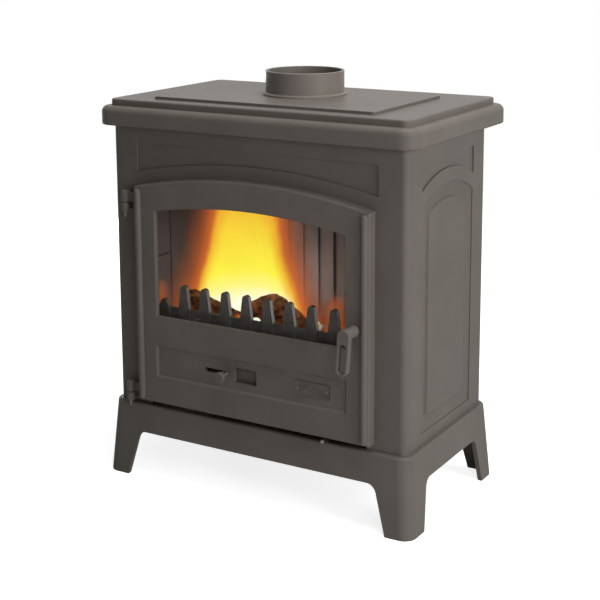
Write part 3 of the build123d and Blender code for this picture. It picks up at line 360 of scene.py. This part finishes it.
def fibre_rope():
    """Knitted ceramic-fibre rope: off-white and soft, with a slanted stitch."""
    material, tree, shader, place = new_material("ceramic_fibre_rope")
    # A stitch is about 2 mm wide, and is drawn about 12 mm wide here so that it shows
    stitch = add(
        tree,
        "ShaderNodeTexWave",
        {"Vector": place, "Scale": per_metre(40), "Distortion": 1.5, "Detail": 2.0},
        bands_direction="DIAGONAL",
    )
    colour = add(
        tree,
        "ShaderNodeValToRGB",
        {"Fac": stitch.outputs["Fac"]},
        stops=[(0.2, "#8E8A82"), (0.8, "#CFCBC2")],
    )
    bump = add(
        tree,
        "ShaderNodeBump",
        {"Height": stitch.outputs["Fac"], "Strength": 0.6, "Distance": 0.5 * MM},
    )
    set_inputs(
        tree,
        shader,
        {
            "Base Color": colour.outputs["Color"],
            "Roughness": 0.95,
            "Normal": bump.outputs["Normal"],
        },
    )
    return material


def stove_glass():
    """Clear glass ceramic: all but invisible, with a thin brown film of soot in clouds."""
    material, tree, shader, place = new_material("glass_ceramic")
    film = add(tree, "ShaderNodeTexNoise", {"Vector": place, "Scale": per_metre(70), "Detail": 3.0})
    veil = add(
        tree,
        "ShaderNodeMapRange",
        {"Value": film.outputs["Fac"], "To Min": 0.02, "To Max": 0.10},
    )
    set_inputs(
        tree,
        shader,
        {"Base Color": srgb("#1C1714"), "Roughness": 0.08, "Alpha": veil.outputs["Result"]},
    )
    return material


def charred_wood():
    """Burning firewood: furrowed wood in brown and pale orange, partly its own colour and partly painted
    firelight, charred black in patches, with embers in its cracks.
    """
    material, tree, shader, place = new_material("charred_firewood")
    grain = add(
        tree,
        "ShaderNodeTexNoise",
        {"Vector": place, "Scale": per_metre(10), "Detail": 6.0, "Distortion": 0.5},
    )
    char = add(tree, "ShaderNodeTexNoise", {"Vector": place, "Scale": per_metre(38), "Detail": 4.0})
    # The wood's own brown, lightened to pale orange as painted firelight
    wood = add(
        tree,
        "ShaderNodeValToRGB",
        {"Fac": grain.outputs["Fac"]},
        stops=[(0.32, "#7C4A2C"), (0.50, "#C4814C"), (0.68, "#ECB57C")],
    )
    burnt = add(
        tree,
        "ShaderNodeValToRGB",
        {"Fac": char.outputs["Fac"]},
        stops=[(0.40, "#3C3734"), (0.52, "#FFFFFF")],
    )
    colour = add(
        tree,
        "ShaderNodeMix",
        {"Factor": 1.0, MIX_A: wood.outputs["Color"], MIX_B: burnt.outputs["Color"]},
        data_type="RGBA",
        blend_type="MULTIPLY",
    )
    cracks = add(
        tree,
        "ShaderNodeTexVoronoi",
        {"Vector": place, "Scale": per_metre(24)},
        feature="DISTANCE_TO_EDGE",
    )
    glow = add(
        tree,
        "ShaderNodeValToRGB",
        {"Fac": cracks.outputs["Distance"]},
        stops=[(0.0, "#E0682A"), (0.05, "#5A1C08"), (0.11, "#000000")],
    )
    bump = add(
        tree,
        "ShaderNodeBump",
        {"Height": grain.outputs["Fac"], "Strength": 0.8, "Distance": 2.0 * MM},
    )
    set_inputs(
        tree,
        shader,
        {
            "Base Color": colour.outputs[MIX_RESULT],
            "Emission Color": glow.outputs["Color"],
            "Emission Strength": 0.12,
            "Roughness": 0.9,
            "Normal": bump.outputs["Normal"],
        },
    )
    return material


def glowing_embers():
    """Burning coals: white-hot in places, orange round them, dark ash between, and cooler at the sides."""
    material, tree, shader, place = new_material("glowing_embers")
    coals = add(
        tree,
        "ShaderNodeTexNoise",
        {"Vector": place, "Scale": per_metre(COAL_SPACING), "Detail": 5.0, "Distortion": 0.8},
    )
    heat = add(
        tree,
        "ShaderNodeValToRGB",
        {"Fac": coals.outputs["Fac"]},
        stops=[(0.34, "#4A2012"), (0.45, "#D8824A"), (0.54, "#FFE0B8"), (0.64, "#FFF8EC")],
    )
    middle = add(
        tree,
        "ShaderNodeMapping",
        {"Vector": place, "Location": HEAT_SHIFT, "Scale": HEAT_SCALE},
    )
    ball = add(tree, "ShaderNodeTexGradient", {"Vector": middle.outputs["Vector"]}, gradient_type="SPHERICAL")
    power = add(
        tree,
        "ShaderNodeMapRange",
        {"Value": ball.outputs["Fac"], "To Min": HEAT_POWER[0], "To Max": HEAT_POWER[1]},
    )
    set_inputs(
        tree,
        shader,
        {
            "Base Color": srgb("#1B1512"),
            "Emission Color": heat.outputs["Color"],
            "Emission Strength": power.outputs["Result"],
            "Roughness": 1.0,
        },
    )
    return material


def fire(name, heart_stops, rim_stops, veil_stops):
    """Flame: white-hot at its foot, yellow in its heart, then orange, brown and clear towards its edge."""
    material, tree, shader, place = new_material(name)
    chart = add(
        tree,
        "ShaderNodeSeparateXYZ",
        {"Vector": add(tree, "ShaderNodeUVMap", uv_map="flame").outputs["UV"]},
    )
    stretched = add(tree, "ShaderNodeMapping", {"Vector": place, "Scale": (1.0, 1.0, 0.4)})
    flicker = add(
        tree,
        "ShaderNodeTexNoise",
        {"Vector": stretched.outputs["Vector"], "Scale": per_metre(45), "Detail": 3.0},
    )
    sway = add(
        tree,
        "ShaderNodeMapRange",
        {"Value": flicker.outputs["Fac"], "To Min": -SWAY, "To Max": SWAY},
    )
    edge = add(tree, "ShaderNodeMath", {0: chart.outputs["X"], 1: sway.outputs["Result"]}, operation="ADD")
    cooling = add(
        tree,
        "ShaderNodeMath",
        {0: edge.outputs["Value"], 1: COOLING, 2: chart.outputs["Y"]},
        operation="MULTIPLY_ADD",
    )
    heart = add(tree, "ShaderNodeValToRGB", {"Fac": cooling.outputs["Value"]}, stops=heart_stops)
    rim = add(tree, "ShaderNodeValToRGB", {"Fac": edge.outputs["Value"]}, stops=rim_stops)
    outward = add(
        tree,
        "ShaderNodeMapRange",
        {"Value": edge.outputs["Value"], "From Min": HEART_EDGE[0], "From Max": HEART_EDGE[1]},
        interpolation_type="SMOOTHSTEP",
    )
    colour = add(
        tree,
        "ShaderNodeMix",
        {"Factor": outward.outputs["Result"], MIX_A: heart.outputs["Color"], MIX_B: rim.outputs["Color"]},
        data_type="RGBA",
    )
    veil = add(tree, "ShaderNodeValToRGB", {"Fac": edge.outputs["Value"]}, stops=veil_stops)
    crown = add(
        tree,
        "ShaderNodeMapRange",
        {"Value": chart.outputs["Y"], "From Min": 1.0, "From Max": CROWN_START},
        interpolation_type="SMOOTHSTEP",
    )
    alpha = add(
        tree,
        "ShaderNodeMath",
        {0: veil.outputs["Color"], 1: crown.outputs["Result"]},
        operation="MULTIPLY",
    )
    set_inputs(
        tree,
        shader,
        {
            "Base Color": (0.0, 0.0, 0.0, 1.0),
            "Emission Color": colour.outputs[MIX_RESULT],
            "Emission Strength": FLAME_STRENGTH,
            "Alpha": alpha.outputs["Value"],
            "Roughness": 1.0,
            "Specular IOR Level": 0.0,
        },
    )
    return material


PAINT = sand_cast_paint("matt_stove_paint", "#645E58", "#5E5853", grit_mm=1.6, roughness=0.46, sheen=0.12)
# The collar's paint is a lighter copy of the stove paint, as painted light; its lower roughness and higher
# sheen make it satin
COLLAR_LIGHTENED_PAINT = sand_cast_paint(
    "satin_stove_paint_with_painted_light",
    "#736C66",
    "#6D6660",
    grit_mm=1.2,
    roughness=0.42,
    sheen=0.15,
)
SOOTED_IRON = sand_cast_paint(
    "sooted_cast_iron",
    "#3E3A37",
    "#302C2A",
    grit_mm=2.0,
    roughness=0.72,
    sheen=0.1,
)
GREY_SHEET = sand_cast_paint("grey_sheet_steel", "#5C5652", "#524D49", grit_mm=1.0, roughness=0.5, sheen=0.2)
GUARD_LIT_IRON = iron_with_painted_lit_flanks()
MILD_STEEL = dull_metal("heat_stained_steel", base="#7B7772", stain="#544D47", roughness=0.45)
ZINC = dull_metal("zinc_plated_steel", base="#B4B2AE", stain="#8F8C87", roughness=0.35)
BADGE = dull_metal("blank_pressed_plate", base="#5D5853", stain="#4E4A45", roughness=0.55)
FIREBRICK = firebrick()
ROPE = fibre_rope()
GLASS = stove_glass()
WOOD = charred_wood()
EMBERS = glowing_embers()
FLAME_STOPS = [(0.24, "#FFFCE0"), (0.32, "#FCF58A"), (0.44, "#FBF048"), (0.70, "#F6D53C"), (0.98, "#E6A52F")]
FLAME_FINISH = fire(
    "flame",
    heart_stops=FLAME_STOPS,
    rim_stops=[(0.50, "#EDAA31"), (0.56, "#C8652C"), (0.63, "#A9552C"), (0.74, "#8A4A2E")],
    veil_stops=[(0.50, "#FFFFFF"), (0.60, "#EEEEEE"), (0.72, "#A8A8A8"), (0.81, "#000000")],
)
LICK_FINISH = fire(
    "flame_lick",
    heart_stops=[(0.20, "#D07A3A"), (0.60, "#A9552C"), (1.00, "#7A4430")],
    rim_stops=[(0.45, "#C8652C"), (0.55, "#8A4A2E")],
    veil_stops=[(0.43, "#F0F0F0"), (0.50, "#B0B0B0"), (0.55, "#000000")],
)
HEART_FINISH = fire(
    "flame_heart",
    heart_stops=FLAME_STOPS,
    rim_stops=[(0.40, "#F6D23A"), (0.60, "#F0B832")],
    veil_stops=[(0.20, "#FFFFFF"), (0.48, "#000000")],
)

SLOT_FINISHES = {
    "stove_paint": PAINT,
    "bare_cast_iron": SOOTED_IRON,
    "mild_steel": MILD_STEEL,
    "sheet_steel": GREY_SHEET,
    "zinc_steel": ZINC,
    "firebrick": FIREBRICK,
    "log_wood": WOOD,
    "rope_seal": ROPE,
    "stove_glass": GLASS,
    "badge_metal": BADGE,
}
NODE_FINISHES = {
    "flue_collar": COLLAR_LIGHTENED_PAINT,
    "log_guard": GUARD_LIT_IRON,
    "air_slide": GREY_SHEET,
    "plate_rivets": PAINT,
    "glass_gasket": SOOTED_IRON,
}


def dress_nodes():
    """Gives each solid of the model the finish of its slot, or its own."""
    for part in frame["record"]["subparts"]:
        name = part["node"]
        materials = nodes[name].data.materials
        materials.clear()
        materials.append(NODE_FINISHES.get(name, SLOT_FINISHES[part["material_slot"]]))


# Pieces of the fire


def new_piece(name, shape, material):
    """Makes a finished bmesh an object that rides on the stove's body."""
    mesh = bpy.data.meshes.new(name)
    shape.to_mesh(mesh)
    shape.free()
    mesh.materials.append(material)
    piece = bpy.data.objects.new(name, mesh)
    scene.collection.objects.link(piece)
    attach(piece, "stove_body")
    return piece


def roughen(shape, depth, grain_mm):
    """Gives a log an uneven surface, nearly all of it inwards, and keeps it on its seat."""
    shape.normal_update()
    for vert in shape.verts:
        coarse = noise.noise(vert.co / (grain_mm * MM))
        fine = noise.noise(vert.co / (0.3 * grain_mm * MM))
        bite = 0.5 + 0.5 * coarse + 0.3 * fine
        vert.co -= vert.normal * depth * bite
        vert.co.z = max(vert.co.z, LOG_SEAT)


def finish_log(name, shape):
    """Roughens a log's shape and puts it in the place of its solid."""
    bmesh.ops.remove_doubles(shape, verts=shape.verts, dist=0.1 * MM)
    bmesh.ops.recalc_face_normals(shape, faces=shape.faces)
    roughen(shape, depth=4.0 * MM, grain_mm=16.0)
    log = new_piece(f"{name}_wood", shape, WOOD)
    for face in log.data.polygons:
        face.use_smooth = True
    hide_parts(name)


def round_log(name, start, end, radii):
    """A log that lies on the grate between two points, thicker or thinner at its far end."""
    shape = bmesh.new()
    length = end[0] - start[0]
    bmesh.ops.create_cone(
        shape,
        cap_ends=True,
        segments=LOG_FACETS,
        radius1=radii[0],
        radius2=radii[1],
        depth=length,
    )
    sides = [edge for edge in shape.edges if abs(edge.verts[0].co.z - edge.verts[1].co.z) > length / 2]
    bmesh.ops.subdivide_edges(shape, edges=sides, cuts=LOG_CUTS, use_grid_fill=True)
    for cap in [face for face in shape.faces if len(face.verts) > 4]:
        for ring in LOG_END_RINGS:
            bmesh.ops.inset_region(shape, faces=[cap], thickness=ring * radii[1])
    lie_down = Matrix.Rotation(math.radians(90), 4, "Y")
    bmesh.ops.transform(shape, matrix=lie_down, verts=shape.verts)
    for vert in shape.verts:
        share = vert.co.x / length + 0.5
        radius = radii[0] + (radii[1] - radii[0]) * share
        vert.co += Vector((start[0] + length / 2, start[1], LOG_SEAT + radius))
    finish_log(name, shape)


def split_log(name):
    """A split log that points to the door, burnt away under its left end, with a thinner far end."""
    shape = bmesh.new()
    rim = [shape.verts.new((across * MM, 0.0, rise * MM)) for across, rise in SPLIT_OUTLINE]
    face = shape.faces.new(rim)
    far = bmesh.ops.extrude_face_region(shape, geom=[face])
    far_verts = [item for item in far["geom"] if isinstance(item, bmesh.types.BMVert)]
    bmesh.ops.scale(shape, vec=(SPLIT_TAPER, 1.0, SPLIT_TAPER), verts=far_verts)
    bmesh.ops.translate(shape, vec=(0.0, SPLIT_LENGTH, 0.0), verts=far_verts)
    bmesh.ops.bevel(
        shape,
        geom=shape.edges[:],
        offset=SPLIT_BEVEL,
        affect="EDGES",
        segments=2,
        profile=0.5,
        material=-1,
    )
    bmesh.ops.triangulate(shape, faces=[face for face in shape.faces if len(face.verts) > 4])
    for _ in range(SPLIT_CUTS):
        long_edges = [edge for edge in shape.edges if edge.calc_length() > SPLIT_FACET]
        bmesh.ops.subdivide_edges(shape, edges=long_edges, cuts=1, use_grid_fill=True)
        bmesh.ops.triangulate(shape, faces=[face for face in shape.faces if len(face.verts) > 4])
    turn = Matrix.Translation(SPLIT_PLACE) @ Matrix.Rotation(SPLIT_TURN, 4, "Z")
    bmesh.ops.transform(shape, matrix=turn, verts=shape.verts)
    finish_log(name, shape)


def ember_bed():
    """Lumpy coals on the grate, higher in the middle."""
    shape = bmesh.new()
    bmesh.ops.create_grid(shape, x_segments=EMBER_CELLS[0], y_segments=EMBER_CELLS[1], size=0.5)
    top = bmesh.ops.extrude_face_region(shape, geom=shape.faces[:])
    top_verts = {item for item in top["geom"] if isinstance(item, bmesh.types.BMVert)}
    for vert in shape.verts:
        reach = max(abs(vert.co.x), abs(vert.co.y)) * 2
        spot = Vector((vert.co.x * EMBER_SIZE[0], vert.co.y * EMBER_SIZE[1], 0.0))
        dip = noise.voronoi(spot / (COAL_SPACING * MM))[0][0]
        rise = (1.0 - reach**6) * (COAL_HEIGHT - COAL_DIP * dip) * MM if vert in top_verts else 0.0
        vert.co = Vector((*EMBER_MIDDLE, FIREBED)) + spot + Vector((0.0, 0.0, max(rise, 0.0)))
    bmesh.ops.remove_doubles(shape, verts=shape.verts, dist=0.01 * MM)
    bmesh.ops.recalc_face_normals(shape, faces=shape.faces)
    new_piece("ember_bed", shape, EMBERS)


def flame_sheet(name, material, turn, foot, height, widths, glow):
    """An upright sheet through a flame. Its UV map holds the way out from the heart, and the height."""
    shape = bmesh.new()
    bmesh.ops.create_grid(shape, x_segments=FLAME_CELLS, y_segments=FLAME_CELLS, size=0.5)
    chart = shape.loops.layers.uv.new("flame")
    for face in shape.faces:
        for loop in face.loops:
            across, rise = loop.vert.co.x * 2, loop.vert.co.y + 0.5
            side_glow = glow[1] if across > 0 else glow[0]
            heart = widths[0] + (widths[1] - widths[0]) * rise
            outward = abs(across) * (widths[0] + side_glow) - heart
            outward *= glow[0] / side_glow if outward > 0 else 1.0
            loop[chart].uv = (0.5 + outward / GLOW_UNIT, rise)
    for vert in shape.verts:
        side_reach = widths[0] + (glow[1] if vert.co.x > 0 else glow[0])
        vert.co = Vector((vert.co.x * 2 * side_reach, 0.0, (vert.co.y + 0.5) * height))
    place = Matrix.Translation(foot) @ Matrix.Rotation(math.radians(turn), 4, "Z")
    bmesh.ops.transform(shape, matrix=place, verts=shape.verts)
    # Thin gas throws little light on the walls, so it comes from the embers alone
    new_piece(name, shape, material).visible_diffuse = False


def build_fire():
    """The logs, the coals under them, the flame's crossed sheets, and the two licks beside it."""
    round_log("log_left", **LEFT_LOG)
    split_log("log_right")
    ember_bed()
    flame_sheet("flame", FLAME_FINISH, FLAME_TURN, **FLAME)
    for index, turn in enumerate(HEART_TURNS, start=1):
        flame_sheet(f"flame_heart_{index}", HEART_FINISH, turn, **HEART)
    flame_sheet("flame_lick_left", LICK_FINISH, FLAME_TURN, **LEFT_LICK)
    flame_sheet("flame_lick_right", LICK_FINISH, FLAME_TURN, **RIGHT_LICK)


# Studio


def camera():
    """The camera, at the photograph's place."""
    data = bpy.data.cameras.new("camera")
    data.sensor_width = SENSOR_MM
    data.sensor_fit = "HORIZONTAL"
    data.lens = FOCAL_PIXELS / IMAGE_SIZE * SENSOR_MM
    data.shift_x = 0.5 - OPTICAL_CENTRE[0] / IMAGE_SIZE
    data.shift_y = OPTICAL_CENTRE[1] / IMAGE_SIZE - 0.5
    data.clip_start = 0.05
    eye = bpy.data.objects.new("camera", data)
    turn = CAMERA_AIM.to_track_quat("-Z", "Y").to_matrix().to_4x4()
    eye.matrix_world = Matrix.Translation(CAMERA_PLACE) @ turn @ Matrix.Rotation(CAMERA_ROLL, 4, "Z")
    scene.collection.objects.link(eye)
    scene.camera = eye


def area_light(name, place, aim, size, power):
    """A soft square lamp."""
    data = bpy.data.lights.new(name, "AREA")
    data.size = size
    data.energy = power
    lamp = bpy.data.objects.new(name, data)
    lamp.location = place
    lamp.rotation_euler = (Vector(aim) - Vector(place)).to_track_quat("-Z", "Y").to_euler()
    scene.collection.objects.link(lamp)


def white_room():
    """Even light from all round, seen and mirrored as plain white."""
    world = bpy.data.worlds.new("white_room")
    world.use_nodes = True
    tree = world.node_tree
    rays = add(tree, "ShaderNodeLightPath")
    mirrored = add(
        tree,
        "ShaderNodeMath",
        {0: rays.outputs["Is Glossy Ray"], 1: rays.outputs["Is Transmission Ray"]},
        operation="MAXIMUM",
    )
    seen = add(
        tree,
        "ShaderNodeMath",
        {0: rays.outputs["Is Camera Ray"], 1: mirrored.outputs["Value"]},
        operation="MAXIMUM",
    )
    strength = add(
        tree,
        "ShaderNodeMapRange",
        {"Value": seen.outputs["Value"], "To Min": ROOM_LIGHT, "To Max": 1.0},
    )
    set_inputs(
        tree,
        tree.nodes["Background"],
        {"Color": srgb("#FFFFFF"), "Strength": strength.outputs["Result"]},
    )
    scene.world = world


def paper_floor():
    """A white paper floor that keeps the stove's shadow and fades into the white room."""
    shape = bmesh.new()
    bmesh.ops.create_grid(shape, x_segments=1, y_segments=1, size=FLOOR_REACH)
    mesh = bpy.data.meshes.new("floor")
    shape.to_mesh(mesh)
    shape.free()
    floor = bpy.data.objects.new("floor", mesh)
    scene.collection.objects.link(floor)
    material, tree, shader, place = new_material("white_paper")
    rays = add(tree, "ShaderNodeLightPath")
    away = add(tree, "ShaderNodeVectorMath", {0: place}, operation="LENGTH")
    fade = add(
        tree,
        "ShaderNodeMapRange",
        {
            "Value": away.outputs["Value"],
            "From Min": FLOOR_FADE[0],
            "From Max": FLOOR_FADE[1],
            "To Min": FLOOR_LIFT,
            "To Max": 1.0,
        },
        interpolation_type="SMOOTHSTEP",
    )
    lift = add(
        tree,
        "ShaderNodeMath",
        {0: rays.outputs["Is Camera Ray"], 1: fade.outputs["Result"]},
        operation="MULTIPLY",
    )
    set_inputs(
        tree,
        shader,
        {
            "Base Color": srgb("#DCDCDC"),
            "Roughness": 1.0,
            "Specular IOR Level": 0.0,
            "Emission Color": srgb("#FFFFFF"),
            "Emission Strength": lift.outputs["Value"],
        },
    )
    mesh.materials.append(material)


dress_nodes()
build_fire()
camera()
white_room()
paper_floor()
for lamp_name, lamp in LAMPS.items():
    area_light(lamp_name, **lamp)
scene.view_settings.view_transform = "Standard"
